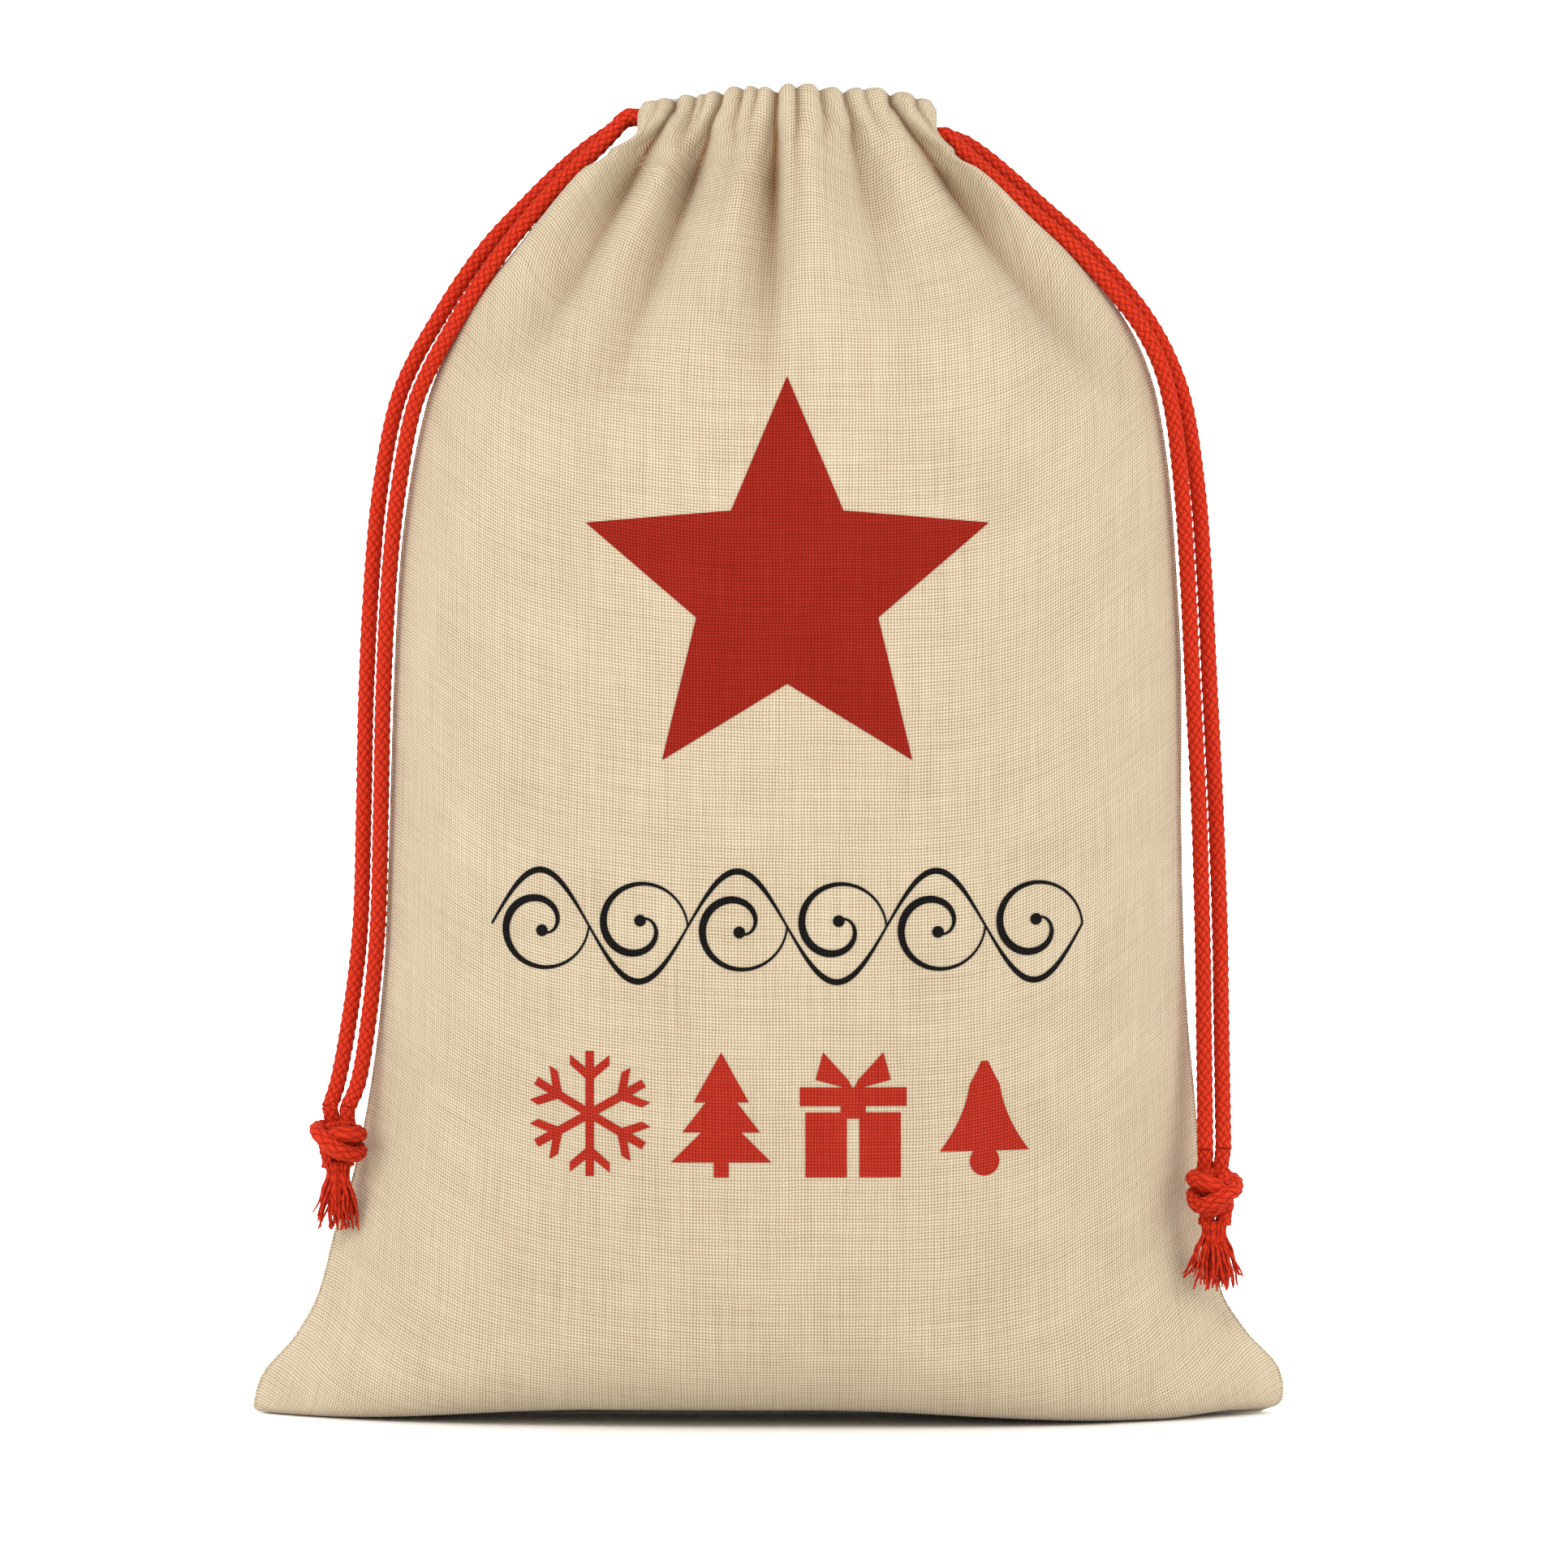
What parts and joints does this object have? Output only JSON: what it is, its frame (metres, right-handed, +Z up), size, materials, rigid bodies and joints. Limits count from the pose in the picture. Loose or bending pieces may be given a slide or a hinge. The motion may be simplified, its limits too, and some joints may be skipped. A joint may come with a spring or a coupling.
{
  "type": "fabric gift sack",
  "caption": "Natural linen drawstring gift sack standing filled, with a gathered neck, red braided drawstrings knotted at the sides and a red star print.",
  "frame": {"origin": "on the floor at the middle of the sack's base, drawstrings not counted", "axes": "+Z up, the printed front faces -Y, +X to the right seen from the front"},
  "size_m": [0.5, 0.2133, 0.64],
  "materials": {
    "linen": "natural undyed plain weave, matt",
    "thread": "polyester sewing thread, matt",
    "cord": "soft braided cotton cord, scarlet",
    "red_ink": "deep red textile ink, weave showing through",
    "black_ink": "black textile ink, weave showing through"
  },
  "bodies": {
    "sack": {"front_panel": "linen", "back_panel": "linen", "casing_front": "linen", "casing_back": "linen", "side_seam_left": "linen", "side_seam_right": "linen", "bottom_seam": "linen", "bar_tack_left": "thread", "bar_tack_right": "thread", "cord_left_in_casing": "cord", "cord_right_in_casing": "cord", "print_star": "red_ink", "print_scroll": "black_ink", "print_crystal": "red_ink", "print_tree": "red_ink", "print_parcel": "red_ink", "print_bell": "red_ink"},
    "left_cord_lead": {"cord_left_lead_front": "cord", "cord_left_lead_back": "cord"},
    "left_cord": {"cord_left_front": "cord", "cord_left_back": "cord", "knot_left": "cord", "tassel_left": "cord"},
    "right_cord_lead": {"cord_right_lead_front": "cord", "cord_right_lead_back": "cord"},
    "right_cord": {"cord_right_front": "cord", "cord_right_back": "cord", "knot_right": "cord", "tassel_right": "cord"}
  },
  "joints": [
    {"name": "left_cord_draw", "type": "slide", "parent": "sack", "child": "left_cord_lead", "axis": [-1, 0, 0], "range_m": [0, 0.018]},
    {"name": "left_cord_lift", "type": "hinge", "parent": "left_cord_lead", "child": "left_cord", "pos_m": [-0.069, 0, 0.6255], "axis": [0, 1, 0], "range_deg": [0, 75]},
    {"name": "right_cord_draw", "type": "slide", "parent": "sack", "child": "right_cord_lead", "axis": [1, 0, 0], "range_m": [0, 0.018]},
    {"name": "right_cord_lift", "type": "hinge", "parent": "right_cord_lead", "child": "right_cord", "pos_m": [0.085, 0, 0.6165], "axis": [0, -1, 0], "range_deg": [0, 75]}
  ]
}
